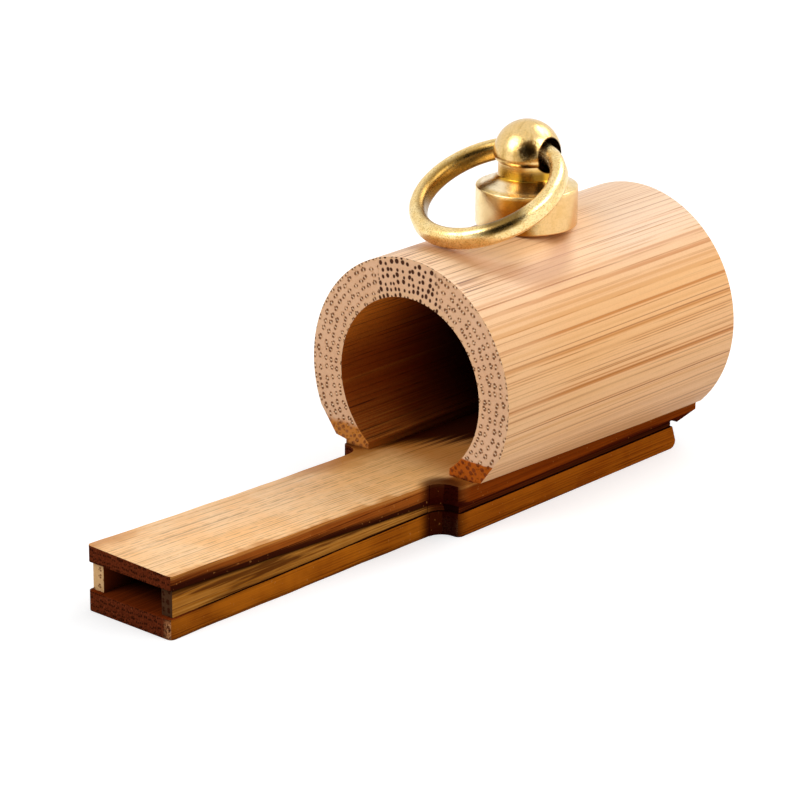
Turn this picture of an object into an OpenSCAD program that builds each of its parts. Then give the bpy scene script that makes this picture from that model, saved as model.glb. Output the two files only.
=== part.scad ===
// Bamboo bird call: a short bamboo tube glued on a flat two-board whistle stem.
// Air is blown in between the boards at the mouth end, and a finger closes or
// opens the front of the tube to change the pitch. A brass ring stud on top
// holds a cord. All lengths are in millimetres. The mouth end points to -X.

/* [Resonator tube] */
// Outer diameter of the bamboo tube
tube_d = 26; // [24:0.5:34]
// Thickness of the tube's wall
wall_t = 3.8; // [3.2:0.1:4.2]
// How far the bore sits below the tube's middle
bore_drop = 0.3; // [0.1:0.1:0.4]
// Length of the tube
tube_l = 36.9; // [36:0.1:60]
// Depth of the flat that is ground under the tube, at its front end
foot_cut = 4.55; // [4.3:0.05:4.8]
// Width of that flat, across the tube's two feet
foot_flat_w = 17; // [15:0.2:17.8]
// Angle of the bevel outside that flat
foot_bevel_angle = 10; // [6:1:30]
// Height of the step outside the left foot's flat
left_step_h = 0.4; // [0.2:0.05:0.6]
// Width of the straight-sided gap between the tube's two feet
foot_gap_w = 10.9; // [9.8:0.1:11.6]
// Depth shaved off the tube's flanks at the front, above its feet
flank_shave = 0.4; // [0.2:0.05:0.6]
// Length over which that shaving runs out towards the far end
flank_run = 34; // [20:1:35]
// How far below the level of the tube's middle these flanks face
flank_angle = 37; // [34:1:42]
// Thickness of the disc that closes the tube's far end
plug_t = 1.5; // [1:0.1:3]

/* [Boards] */
// Length of the stem, from its mouth end to the front of the tube
stem_l = 39.4; // [30:0.1:60]
// Width of the stem at its mouth end
mouth_w = 11.1; // [10:0.1:12]
// Width of the stem where it meets the wide base
junction_w = 12.1; // [11.4:0.1:13.6]
// Width of the base under the tube
base_w = 17; // [17:0.1:24]
// How far the right half of the base reaches in front of the tube
base_front = 2; // [1:0.1:6]
// How far the left half of the base reaches in front of the tube
left_front = 0.6; // [0.2:0.1:2]
// Radius of the inside corner between stem and base
corner_r = 1.6; // [0.6:0.1:1.8]
// Height of the stacked boards at the front of the tube
boards_h = 5.35; // [5:0.05:8]
// Slope of the upper board's top, down to the far end
slope_angle = 1.5; // [0.6:0.1:1.8]
// Thickness of the upper board at the mouth end
roof_mouth_t = 1.4; // [1:0.1:2.4]
// Thickness of the lower board at the mouth end
floor_mouth_t = 2.05; // [1.2:0.05:2.4]
// Thickness of the lower board under the tube
floor_t = 2.5; // [2:0.1:3]
// How much shorter than the tube the upper board is
roof_short = 0.1; // [0.1:0.1:1]
// How much shorter than the tube the lower board is
floor_short = 3.5; // [3:0.1:6]

/* [Windway] */
// Width of the windway
windway_w = 7.7; // [6:0.1:8.2]
// Height of the windway under the tube
windway_h = 0.7; // [0.4:0.05:0.9]
// Length of the window through the upper board
window_l = 4.8; // [3:0.1:8]
// Length of the ramp behind the sounding edge
ramp_l = 1.1; // [0.6:0.1:1.2]
// How far the sounding edge hangs below the windway's upper face
edge_drop = 0.4; // [0.1:0.05:0.6]
// Thickness of the lip at the far end of the upper board
lip_end_t = 0.95; // [0.7:0.05:1.1]
// How far the spacer strips stay in from the boards' sides
spacer_inset = 0.3; // [0.1:0.05:0.5]
// How far the spacer strips stay back from the mouth end
spacer_setback = 0.5; // [0.2:0.1:2]

/* [Ring stud] */
// Distance from the tube's front end to the stud's axis
stud_x = 18; // [17:0.1:19]
// Diameter of the stud's round base
stud_base_d = 10.5; // [9.6:0.1:11]
// Height of the stud's base above the tube's top line
stud_base_h = 3.95; // [3.6:0.05:5]
// Height of the cone between the base's rim and the neck
cone_h = 1.05; // [0.6:0.05:1.4]
// Diameter of the neck
neck_d = 6; // [5.2:0.1:6.2]
// Diameter of the rounded head
head_d = 6.95; // [6.5:0.05:7.6]
// Height of the head above the ring's hole
head_top_h = 3.25; // [2.9:0.05:3.4]
// Radius of the rounding under the head
head_under_r = 1; // [0.6:0.1:1.2]
// Height of the ring's hole above the base's rim
hole_h = 3.55; // [3.3:0.05:3.9]
// Diameter of the ring's hole
hole_d = 3.6; // [3.5:0.05:3.7]

/* [Ring] */
// Diameter of the ring, measured at the middle of its wire
ring_d = 14.9; // [14.6:0.1:16.4]
// Thickness of the ring's wire, measured towards the ring's middle
wire_t = 1.7; // [1.4:0.05:1.75]
// Height of the ring's wire, measured along the ring's axis
wire_h = 2.3; // [1.8:0.05:2.35]
// How far the ring leans down to the left in its hole
ring_tilt = 3.5; // [0:0.1:3.8]
// Clearance between the lying ring and the tube
ring_rest_gap = 0.1; // [0.08:0.01:0.3]

/* [Fixing screw] */
// Diameter of the screw's shank
screw_d = 3; // [2.5:0.1:3.4]
// Diameter of the screw's head
screw_head_d = 5.5; // [5:0.1:6.2]
// Height of the screw's head
screw_head_h = 1.6; // [1.2:0.1:2]
// How far the screw reaches into the stud
screw_bite = 3.2; // [2:0.1:3.6]

/* [Hidden] */

$fn = 96;

// Overrun of every cut past the face that it goes through
over = 0.5;
// Clearance of the glued disc in the tube's bore
glue_gap = 0.05;
// Depth of the small flat on the tube's top that the stud stands on
stud_flat_depth = 0.12;
// Clearance round the stud on that flat
stud_flat_clear = 0.15;
// Clearance of the screw's shank in the tube's wall
shank_clear = 0.1;
// Clearance of the screw's thread in the stud
thread_clear = 0.05;
// Depth of the head's flat seat above the bore's top line
head_seat = 0.05;
// Clearance round the screw's head
head_clear = 0.15;
// Spare depth of the stud's hole past the screw's tip
hole_spare = 0.4;
// Width and depth of the screw's slot
slot_w = 0.8;
slot_depth = 0.7;
// Flattened edge at the stud's rim and under its base
stud_edge = 0.12;
// Gap between the lower board's end and the lip of the upper board
lip_gap = 0.15;
// Rounding under the far end of the lower board
floor_end_r = 0.8;
// Lean of the lower board's far end face
floor_end_lean = 0.6;

tube_r = tube_d / 2;
bore_r = tube_r - wall_t;
wire_r = wire_t / 2;
wire_flank = wire_h - wire_t;
ring_r = ring_d / 2;
head_r = head_d / 2;
slope = tan(slope_angle);

// Places along the length, from the tube's front end
floor_end = tube_l - floor_short;
roof_end = tube_l - roof_short;
lip_start = floor_end + lip_gap;
edge_x = tube_l - plug_t - ramp_l;
window_start = edge_x - window_l;

// Heights in the part's resting position
windway_top = floor_t + windway_h;
function roof_top(x) = boards_h - slope * x;
mouth_under = roof_top(-stem_l) - roof_mouth_t;
lip_low = windway_top - edge_drop;
lip_end_low = roof_top(roof_end) - lip_end_t;

// Middle of the whole object along X, which the model is centred on
centre_x = (tube_l - stem_l) / 2;

// Heights above the tube's glued face at its front end
tube_lift = tube_r - foot_cut;
bore_lift = tube_lift - bore_drop;
tube_top = tube_lift + tube_r;
stud_seat = tube_top - stud_flat_depth;
rim_z = tube_top + stud_base_h;
pivot_z = rim_z + hole_h;
screw_seat = bore_lift + bore_r + head_seat;

// The wire curves inside the hole, so the ring's middle is drawn in by half its sagitta
wire_sagitta = ring_r - sqrt(pow(ring_r, 2) - pow(head_r, 2));
ring_arm = ring_r - wire_sagitta / 2;

// Angle at which the wire, taller than it is thick, comes down to the tube's top line
ring_reach = ring_arm + ring_r;
ring_drop = pivot_z - tube_top - wire_r - ring_rest_gap;
ring_lean = asin(ring_drop / sqrt(pow(ring_reach, 2) + pow(wire_flank / 2, 2)))
    - atan(wire_flank / 2 / ring_reach);

// Centres the part on X
module placed() {
    translate([-centre_x, 0, 0]) children();
}

// Carries the level tube and what stands on it
module on_tube() {
    placed() translate([0, 0, boards_h]) children();
}

// Carries the cuts along the sloping top of the upper board
module on_slope() {
    on_tube() rotate([0, slope_angle, 0]) children();
}

// Extrudes a side profile, drawn as x and z, across the part's width
module side_profile(points, w) {
    rotate([90, 0, 0]) linear_extrude(height = w, center = true) polygon(points);
}

// Plan of the boards: a narrow stem, a wide base and round inside corners
module plan(inset, x_end) {
    polygon([[-stem_l, -mouth_w / 2 + inset], [corner_r, -junction_w / 2 + inset],
             [corner_r, junction_w / 2 - inset], [-stem_l, mouth_w / 2 - inset]]);
    half_base(left_front, inset, x_end);
    mirror([0, 1]) half_base(base_front, inset, x_end);
}

// Left half of the base, with a concave quarter in the inside corner
module half_base(front, inset, x_end) {
    translate([-front + inset, 0]) square([front - inset + x_end, base_w / 2 - inset]);
    difference() {
        translate([-front - corner_r, 0]) square([corner_r + inset, junction_w / 2 + corner_r]);
        translate([-front - corner_r, junction_w / 2 + corner_r]) circle(r = corner_r + inset);
    }
}

// Windway seen from above, as long as the boards
module windway_plan() {
    translate([-stem_l - over, -windway_w / 2]) square([stem_l + tube_l + 2 * over, windway_w]);
}

// Tube with its flat ground to the slope of the upper board
module resonator_tube() {
    color("burlywood") difference() {
        on_tube() translate([0, 0, tube_lift]) rotate([0, 90, 0]) cylinder(h = tube_l, r = tube_r);
        on_tube() translate([-over, 0, bore_lift]) rotate([0, 90, 0])
            cylinder(h = tube_l + 2 * over, r = bore_r);
        on_slope() translate([-over, -tube_r, -tube_r]) cube([tube_l + 2 * over, tube_d, tube_r]);
        on_slope() foot_bevel(left_step_h);
        on_slope() mirror([0, 1, 0]) foot_bevel(0);
        for (side = [0, 1]) {
            on_tube() mirror([0, side, 0]) flank_shaving();
        }
        on_tube() translate([-over, -foot_gap_w / 2, -foot_cut])
            cube([over + tube_l - plug_t, foot_gap_w, foot_cut + bore_lift]);
        on_tube() translate([stud_x, 0, 0]) stud_seating();
    }
}

// Flat for the stud on the tube's top, with the screw's hole and the seat of its head
module stud_seating() {
    translate([0, 0, stud_seat])
        cylinder(h = stud_flat_depth + over, r = stud_base_d / 2 + stud_flat_clear);
    translate([0, 0, tube_lift]) cylinder(h = tube_r + over, r = screw_d / 2 + shank_clear);
    translate([0, 0, screw_seat - screw_head_h])
        cylinder(h = screw_head_h, r = screw_head_d / 2 + head_clear);
}

// Bevel outside the flat of the left foot, above a step
module foot_bevel(step_h) {
    reach = tube_r - foot_flat_w / 2 + over;
    translate([-over, foot_flat_w / 2, 0]) rotate([90, 0, 90])
        linear_extrude(height = tube_l + 2 * over)
            polygon([[0, step_h], [reach, step_h + reach * tan(foot_bevel_angle)], [reach, -over],
                     [0, -over]]);
}

// Flat shaving along the tube's left flank, which gets shallower towards the far end
module flank_shaving() {
    run_out = atan(flank_shave / flank_run);
    translate([0, 0, tube_lift]) rotate([-flank_angle, 0, 0])
        translate([0, tube_r - flank_shave, -tube_r]) rotate([0, 0, run_out])
            translate([-over, 0, 0]) cube([tube_l + 2 * over, flank_shave + over, tube_d]);
}

// Disc that closes the far end, cut to the slope where it stands on the upper board
module end_plug() {
    color("tan") difference() {
        on_tube() translate([tube_l - plug_t, 0, bore_lift]) rotate([0, 90, 0])
            cylinder(h = plug_t, r = bore_r - glue_gap);
        on_slope() translate([-over, -tube_r, -tube_r]) cube([tube_l + 2 * over, tube_d, tube_r]);
    }
}

// Upper board, with the window and the sounding edge near its far end
module roof_board() {
    color("peru") placed() difference() {
        intersection() {
            linear_extrude(height = boards_h + slope * stem_l + over) plan(0, roof_end);
            side_profile([[-stem_l, mouth_under], [-stem_l, roof_top(-stem_l)],
                          [roof_end, roof_top(roof_end)], [roof_end, lip_end_low],
                          [lip_start, lip_low], [lip_start, windway_top], [0, windway_top]],
                         base_w);
        }
        side_profile([[window_start, lip_low - over], [edge_x, lip_low - over],
                      [edge_x, edge_low()], [edge_x + ramp_l, roof_top(edge_x + ramp_l)],
                      [edge_x + ramp_l, boards_h + over], [window_start, boards_h + over]],
                     windway_w);
    }
}

// Height of the lip's underside at the sounding edge
function edge_low() = lip_low + (lip_end_low - lip_low) * (edge_x - lip_start) / (roof_end - lip_start);

// Lower board, flat underneath, with a rounded far end
module floor_board() {
    end_shoulder = floor_end - floor_end_r;
    color("sienna") placed() intersection() {
        linear_extrude(height = floor_t + over) plan(0, floor_end);
        side_profile(concat([[-stem_l, 0], [-stem_l, floor_mouth_t], [0, floor_t],
                             [floor_end - floor_end_lean, floor_t]],
                            [for (a = [0:-15:-90])
                                [end_shoulder + floor_end_r * cos(a), floor_end_r * (1 + sin(a))]]),
                     base_w);
    }
}

// Tapered strip that closes the windway on one side
module spacer(side) {
    strip_end = floor_end - floor_end_lean;
    placed() intersection() {
        linear_extrude(height = mouth_under + over) difference() {
            plan(spacer_inset, strip_end);
            windway_plan();
            translate([-stem_l - over, side > 0 ? -base_w : 0])
                square([stem_l + tube_l + 2 * over, base_w]);
        }
        side_profile([[-stem_l + spacer_setback, strip_low(-stem_l + spacer_setback)],
                      [-stem_l + spacer_setback, strip_high(-stem_l + spacer_setback)],
                      [0, windway_top], [strip_end, windway_top], [strip_end, floor_t], [0, floor_t]],
                     base_w);
    }
}

// Faces of the two boards that the strips lie between, on the stem
function strip_low(x) = floor_t + (floor_mouth_t - floor_t) * -x / stem_l;
function strip_high(x) = windway_top + (mouth_under - windway_top) * -x / stem_l;

module left_spacer() {
    color("goldenrod") spacer(1);
}

module right_spacer() {
    color("goldenrod") spacer(-1);
}

// Turned stud, with a cross hole for the ring and a threaded hole from below
module ring_stud() {
    color("gold") on_tube() translate([stud_x, 0, 0]) difference() {
        rotate_extrude() stud_outline();
        translate([0, 0, pivot_z]) rotate([90, 0, 0])
            cylinder(h = head_d + 2 * over, r = hole_d / 2, center = true);
        translate([0, 0, stud_seat - over])
            cylinder(h = screw_bite + hole_spare + over, r = screw_d / 2 + thread_clear);
    }
}

// Half section of the stud: round base, short cone, neck and domed head
module stud_outline() {
    neck_r = neck_d / 2;
    base_r = stud_base_d / 2;
    cone_top = rim_z + cone_h;
    head_mid = pivot_z + head_top_h - head_r;
    polygon([[0, stud_seat], [base_r - stud_edge, stud_seat], [base_r, stud_seat + stud_edge],
             [base_r, rim_z - stud_edge], [base_r - stud_edge, rim_z], [neck_r, cone_top],
             [0, cone_top]]);
    translate([0, cone_top]) square([neck_r, head_mid - cone_top]);
    translate([0, head_mid]) intersection() {
        circle(r = head_r);
        square(head_r);
    }
    translate([0, head_mid - head_under_r]) square([head_r - head_under_r, head_under_r]);
    translate([head_r - head_under_r, head_mid]) intersection() {
        circle(r = head_under_r);
        translate([0, -head_under_r]) square(head_under_r);
    }
}

// Closed wire ring, lying forward with its far side just clear of the tube
module ring() {
    color("khaki") on_tube() translate([stud_x, 0, pivot_z]) rotate([-ring_tilt, 0, 0])
        rotate([0, -ring_lean, 0]) translate([-ring_arm, 0, 0])
            rotate_extrude() translate([ring_r, 0]) wire_section();
}

// Section of the ring's wire: flat flanks with round edges
module wire_section() {
    for (side = [-1, 1]) {
        translate([0, side * wire_flank / 2]) circle(r = wire_r);
    }
    square([wire_t, wire_flank], center = true);
}

// Slotted screw that pulls the stud down from inside the tube
module fixing_screw() {
    color("silver") on_tube() translate([stud_x, 0, 0]) difference() {
        union() {
            translate([0, 0, screw_seat - screw_head_h]) cylinder(h = screw_head_h, r = screw_head_d / 2);
            translate([0, 0, screw_seat - screw_head_h / 2])
                cylinder(h = stud_seat + screw_bite - screw_seat + screw_head_h / 2, r = screw_d / 2);
        }
        translate([-screw_head_d / 2 - over, -slot_w / 2, screw_seat - screw_head_h - over])
            cube([screw_head_d + 2 * over, slot_w, slot_depth + over]);
    }
}

resonator_tube();
end_plug();
roof_board();
floor_board();
left_spacer();
right_spacer();
ring_stud();
ring();
fixing_screw();
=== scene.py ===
# %% [markdown]
# # A bamboo bird call, dressed for its picture
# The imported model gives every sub-part its place and size, and this script gives the
# call its looks: softened edges, bamboo grain, stained boards and turned brass.
# Lengths are written in millimetres and turned into metres by MM, and every pattern
# reads the same millimetres, so a grain line 0.2 wide is 0.2 mm on the object.

# %% Load the fixed frame
import math

import bmesh
import bpy
from mathutils import Matrix, Vector


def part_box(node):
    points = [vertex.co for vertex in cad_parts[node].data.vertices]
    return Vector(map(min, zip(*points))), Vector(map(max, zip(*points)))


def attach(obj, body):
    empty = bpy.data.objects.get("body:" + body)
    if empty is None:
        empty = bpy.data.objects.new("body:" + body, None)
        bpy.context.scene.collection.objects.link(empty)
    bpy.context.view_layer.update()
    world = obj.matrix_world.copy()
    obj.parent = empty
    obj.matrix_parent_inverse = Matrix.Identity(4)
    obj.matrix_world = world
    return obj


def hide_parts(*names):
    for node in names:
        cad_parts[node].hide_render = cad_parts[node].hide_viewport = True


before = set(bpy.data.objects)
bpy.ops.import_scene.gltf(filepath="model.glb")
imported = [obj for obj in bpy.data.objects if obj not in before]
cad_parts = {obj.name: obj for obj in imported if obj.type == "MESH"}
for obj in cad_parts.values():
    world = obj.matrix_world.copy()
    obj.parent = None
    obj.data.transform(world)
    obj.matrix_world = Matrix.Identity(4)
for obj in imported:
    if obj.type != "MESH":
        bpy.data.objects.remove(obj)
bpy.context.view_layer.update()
MM = 0.001

# %% [markdown]
# ## Sizes shared by the pieces
# The tube's front end is where x starts in the workshop drawing, so one shift moves a
# drawing place into the frame. The upper board slopes down to the far end by a degree
# and a half, and the tube's feet are ground to that slope. The seam between the strips
# and the upper board drops from the mouth to the tube, where the windway is thin.

# %% Drawing sizes
FRONT_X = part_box("resonator_tube")[0][0] / MM
BOARDS_H = 5.35
SLOPE = math.radians(1.5)
TUBE_L, TUBE_R, TUBE_Z = 36.9, 13.0, 13.8
BORE_R, BORE_Z, WALL_R = 9.2, 13.5, 11.4
STEM_L, MOUTH_W, JUNCTION_W, BASE_W = 39.4, 11.1, 12.1, 17.0
FLOOR_T, WINDWAY_H, PLUG_T = 2.5, 0.7, 1.5
SEAM_MOUTH, SEAM_FRONT = 4.98, FLOOR_T + WINDWAY_H
MOUTH_X = FRONT_X - STEM_L
STUD_X, SEAT_DEPTH = FRONT_X + 18.0, 0.12
STUD_SEAT = BOARDS_H + 21.45 - SEAT_DEPTH
RIM_Z, HOLE_Z = BOARDS_H + 25.4, BOARDS_H + 28.95
HEAD_R, HOLE_R = 3.475, 1.8
HEAD_MID = HOLE_Z + 3.25 - HEAD_R
RING_R, RING_X, RING_Y = 7.45, STUD_X - 6.33, -0.19
print("the tube starts at x =", round(FRONT_X, 3), "mm")


# %% [markdown]
# ## Helpers for pieces
# Each piece is shaped in a bmesh, its normals are recalculated once it is closed, and
# it is smoothed everywhere but along edges sharper than a chosen angle. The helper
# also says which body carries it and which CAD node it stands for, which it hides.

# %% Make a piece out of a bmesh
def finish_piece(name, bm, materials, body="whistle", stands_for=(), sharp=32):
    bmesh.ops.recalc_face_normals(bm, faces=bm.faces)
    mesh = bpy.data.meshes.new(name)
    bm.to_mesh(mesh)
    bm.free()
    for material in materials:
        mesh.materials.append(material)
    mesh.shade_smooth()
    mesh.set_sharp_from_angle(angle=math.radians(sharp))
    piece = bpy.data.objects.new(name, mesh)
    bpy.context.scene.collection.objects.link(piece)
    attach(piece, body)
    if stands_for:
        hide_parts(*stands_for)
    print(name, "has", len(mesh.polygons), "faces")


# %% Round the sharp edges of a bmesh
SHARP_EDGE = math.radians(35)


def soften(bm, width, segments=3, where=None):
    edges = [e for e in bm.edges if len(e.link_faces) == 2
             and e.calc_face_angle(0) > SHARP_EDGE and (where is None or where(e))]
    bmesh.ops.bevel(bm, geom=edges, offset=width * MM, offset_type="OFFSET", segments=segments,
                    profile=0.5, affect="EDGES", clamp_overlap=True, material=-1)
    return len(edges)


# %% Keep what lies above a plane and close the cut
def cut_below(bm, point, normal):
    cut = bmesh.ops.bisect_plane(bm, geom=bm.verts[:] + bm.edges[:] + bm.faces[:], dist=1e-8,
                                 plane_co=Vector(point) * MM, plane_no=normal, clear_inner=True)
    rim = [e for e in cut["geom_cut"] if isinstance(e, bmesh.types.BMEdge)]
    bmesh.ops.edgeloop_fill(bm, edges=rim)


# %% [markdown]
# ## Node helpers
# Materials are node trees, and a small class keeps them readable. It adds a node and
# sets its sockets, chains maths, maps a value smoothly onto a range and blends colours.
# Two classes grow from it: one for a node group, and one for a finish, which keeps the
# colour so far and lays coats over it as a painter does, each through its own mask.

# %% Node trees with short methods
class Tree:
    def __init__(self, tree):
        self.tree = tree

    def link(self, value, socket):
        """Feeds a socket from another one, or sets its plain value."""
        if isinstance(value, bpy.types.NodeSocket):
            self.tree.links.new(value, socket)
        else:
            socket.default_value = value

    def add(self, kind, settings=None, **sockets):
        """Adds a node. A socket is named, or numbered as i0, i1 and so on."""
        node = self.tree.nodes.new(kind)
        for key, value in (settings or {}).items():
            setattr(node, key, value)
        for key, value in sockets.items():
            numbered = key[0] == "i" and key[1:].isdigit()
            self.link(value, node.inputs[int(key[1:]) if numbered else key.replace("_", " ")])
        return node

    def maths(self, operation, a, b=0.0):
        return self.add("ShaderNodeMath", {"operation": operation}, i0=a, i1=b).outputs[0]

    def plus(self, a, b):
        return self.maths("ADD", a, b)

    def minus(self, a, b):
        return self.maths("SUBTRACT", a, b)

    def times(self, a, b):
        return self.maths("MULTIPLY", a, b)

    def over(self, a, b):
        return self.maths("DIVIDE", a, b)

    def size(self, a):
        """The value without its sign."""
        return self.maths("ABSOLUTE", a)

    def most(self, a, b):
        return self.maths("MAXIMUM", a, b)

    def least(self, a, b):
        return self.maths("MINIMUM", a, b)

    def reach(self, x, y):
        """Length of a step of x and y."""
        return self.maths("SQRT", self.plus(self.times(x, x), self.times(y, y)))

    def apart(self, x, y, x_middle, y_middle):
        """Distance between two points, each of two coordinates."""
        return self.reach(self.minus(x, x_middle), self.minus(y, y_middle))

    def sway(self, value, mask, amount):
        """Moves a value to either side by a mask whose middle is a half."""
        return self.plus(value, self.times(self.minus(mask, 0.5), amount))

    def between(self, value, low, high, out_low=0.0, out_high=1.0):
        """Maps low to high smoothly onto out_low to out_high."""
        return self.add("ShaderNodeMapRange", {"interpolation_type": "SMOOTHSTEP"}, Value=value,
                        From_Min=low, From_Max=high, To_Min=out_low, To_Max=out_high).outputs[0]

    def fades(self, value, low, high):
        """1 below low, 0 above high."""
        return self.between(value, low, high, 1.0, 0.0)

    def ramp(self, share, at_none, at_full):
        """Turns a share from 0 to 1 into a value between two others."""
        return self.between(share, 0.0, 1.0, at_none, at_full)

    def within(self, value, low, full, late, high):
        """1 from full to late, 0 below low and above high."""
        return self.times(self.between(value, low, full), self.fades(value, late, high))

    def blend(self, factor, a, b):
        node = self.tree.nodes.new("ShaderNodeMix")
        node.data_type = "RGBA"
        for value, index in ((factor, 0), (a, 6), (b, 7)):
            self.link((*value, 1.0) if isinstance(value, tuple) else value, node.inputs[index])
        return node.outputs[2]

    def noise(self, place, scale, detail=2.0, roughness=0.5):
        return self.add("ShaderNodeTexNoise", Vector=place, Scale=scale, Detail=detail,
                        Roughness=roughness).outputs[0]

    def vector(self, x, y, z=0.0):
        return self.add("ShaderNodeCombineXYZ", i0=x, i1=y, i2=z).outputs[0]

    def split(self, vector):
        return self.add("ShaderNodeSeparateXYZ", i0=vector).outputs

    def along(self, place, way, start):
        """How far a place is from start in a direction, both plain vectors."""
        dot = self.add("ShaderNodeVectorMath", {"operation": "DOT_PRODUCT"}, i0=place, i1=way)
        return self.minus(dot.outputs["Value"], way.dot(start))


# %% Node groups
class Group(Tree):
    def __init__(self, name, inputs, outputs):
        super().__init__(bpy.data.node_groups.new(name, "ShaderNodeTree"))
        for label, default in inputs.items():
            kind = "NodeSocketVector" if default is None else "NodeSocketFloat"
            socket = self.tree.interface.new_socket(label, in_out="INPUT", socket_type=kind)
            if default is not None:
                socket.default_value = default
        for label in outputs:
            self.tree.interface.new_socket(label, in_out="OUTPUT", socket_type="NodeSocketFloat")
        self.given = self.tree.nodes.new("NodeGroupInput").outputs
        self.result = self.tree.nodes.new("NodeGroupOutput").inputs

    def give(self, **values):
        for label, value in values.items():
            self.tree.links.new(value, self.result[label])
        print("group", self.tree.name, "gives", ", ".join(values))
        return self.tree


# %% Finishes
class Finish(Tree):
    def __init__(self, name, **values):
        self.material = bpy.data.materials.new(name)
        self.material.use_nodes = True
        super().__init__(self.material.node_tree)
        self.shader = self.tree.nodes["Principled BSDF"]
        for key, value in values.items():
            self.shader.inputs[key.replace("_", " ")].default_value = value

    def place_mm(self, scale=(1.0, 1.0, 1.0), shift=(0.0, 0.0, 0.0)):
        """Object coordinates in millimetres, stretched by scale."""
        coordinate = self.add("ShaderNodeTexCoord").outputs["Object"]
        stretch = [s / MM for s in scale]
        return self.add("ShaderNodeMapping", Vector=coordinate, Scale=stretch, Location=shift).outputs[0]

    def locate(self):
        """Sets the place of a point, and gives its x, y and z."""
        self.place = self.place_mm()
        self.x, self.y, self.z = self.split(self.place)
        return self.x, self.y, self.z

    def behind(self, low, high, out_low=0.0, out_high=1.0):
        """Maps how far a place is behind the tube's front."""
        return self.between(self.x, FRONT_X + low, FRONT_X + high, out_low, out_high)

    def use(self, group, **sockets):
        node = self.tree.nodes.new("ShaderNodeGroup")
        node.node_tree = group
        for key, value in sockets.items():
            self.link(value, node.inputs[key])
        return node.outputs

    def coat(self, mask, colour, strength=1.0):
        """Lays a colour over the colour so far, where the mask says."""
        factor = mask if strength == 1.0 else self.times(mask, strength)
        self.base = self.blend(factor, self.base, colour)

    def feed(self, socket, value):
        self.tree.links.new(value, self.shader.inputs[socket])

    def done(self, relief, depth, strength=1.0):
        """Feeds the colour and a relief, whose depth is in millimetres, to the shader."""
        self.feed("Base Color", self.base)
        bump = self.add("ShaderNodeBump", Height=relief, Distance=depth * MM, Strength=strength)
        self.feed("Normal", bump.outputs[0])
        return self.material


# %% [markdown]
# ## Bamboo fibres
# A culm is a bundle of long fibres, so along the grain nothing changes for
# centimetres, and across it something changes every few tenths of a millimetre. The
# group takes the place across the grain as one number, in millimetres, and scatters
# thin lines and broader bands over it with one-dimensional Voronoi cells: each cell
# gives one line its place, its width and its strength. Noise adds fine streaks, broad
# tones and the places where a line fades out along its length.

# %% Group: bamboo fibres
def build_fibres():
    g = Group("bamboo fibres", {"Across": 0.0, "Along": 0.0, "Thin": 1.0, "Fade": 0.06},
              ["Lines", "Bands", "Streaks", "Broad", "Relief"])
    across, along = g.given["Across"], g.given["Along"]

    def grain(along_scale, across_scale, detail, layer=0.0):
        place = g.vector(g.times(along, along_scale), g.times(across, across_scale), layer)
        return g.noise(place, 1.0, detail, 0.6)

    across = g.sway(across, grain(0.02, 0.12, 1.0), 0.35)

    def strips(spacing, thin, wide, soft):
        cell = g.add("ShaderNodeTexVoronoi", {"voronoi_dimensions": "1D"}, Scale=1.0, Randomness=1.0,
                     W=g.over(across, spacing))
        chance = g.add("ShaderNodeSeparateColor", i0=cell.outputs["Color"]).outputs
        half = g.between(chance[0], 0.0, 1.0, thin, wide)
        outside = g.minus(g.times(cell.outputs["Distance"], spacing), half)
        shape = g.fades(outside, -0.4 * soft, soft)
        return g.times(shape, g.between(chance[1], 0.1, 0.85, 0.12, 1.0))

    fading = g.vector(g.times(along, g.given["Fade"]), g.times(across, 1.6), 3.0)
    lasting = g.between(g.noise(fading, 1.0, 2.0, 0.6), 0.36, 0.58)
    lines = g.times(strips(g.over(0.8, g.given["Thin"]), 0.01, 0.055, 0.075), lasting)
    bands = strips(1.7, 0.02, 0.2, 0.13)
    streaks = grain(0.05, 6.5, 4.0, 7.0)
    return g.give(Lines=lines, Bands=bands, Streaks=g.between(streaks, 0.3, 0.7),
                  Broad=g.between(grain(0.015, 0.2, 2.0, 11.0), 0.35, 0.65),
                  Relief=g.minus(g.times(streaks, 0.6), g.times(lines, 0.4)))


FIBRES = build_fibres()

# %% [markdown]
# ## Vascular bundles in the end grain
# Sawn across, the same bundles show as small dark pores. A Voronoi texture scatters one
# cell for each bundle. Inside a cell the place is turned by a random angle and folded
# at its middle, so one dot is drawn twice with a paler spot between the two. A third,
# smaller dot sits beside them, and a soft brown disc lies under all three. On the tube
# the pattern is wrapped round the bore by its angle and radius, so it follows the wall.

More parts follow.
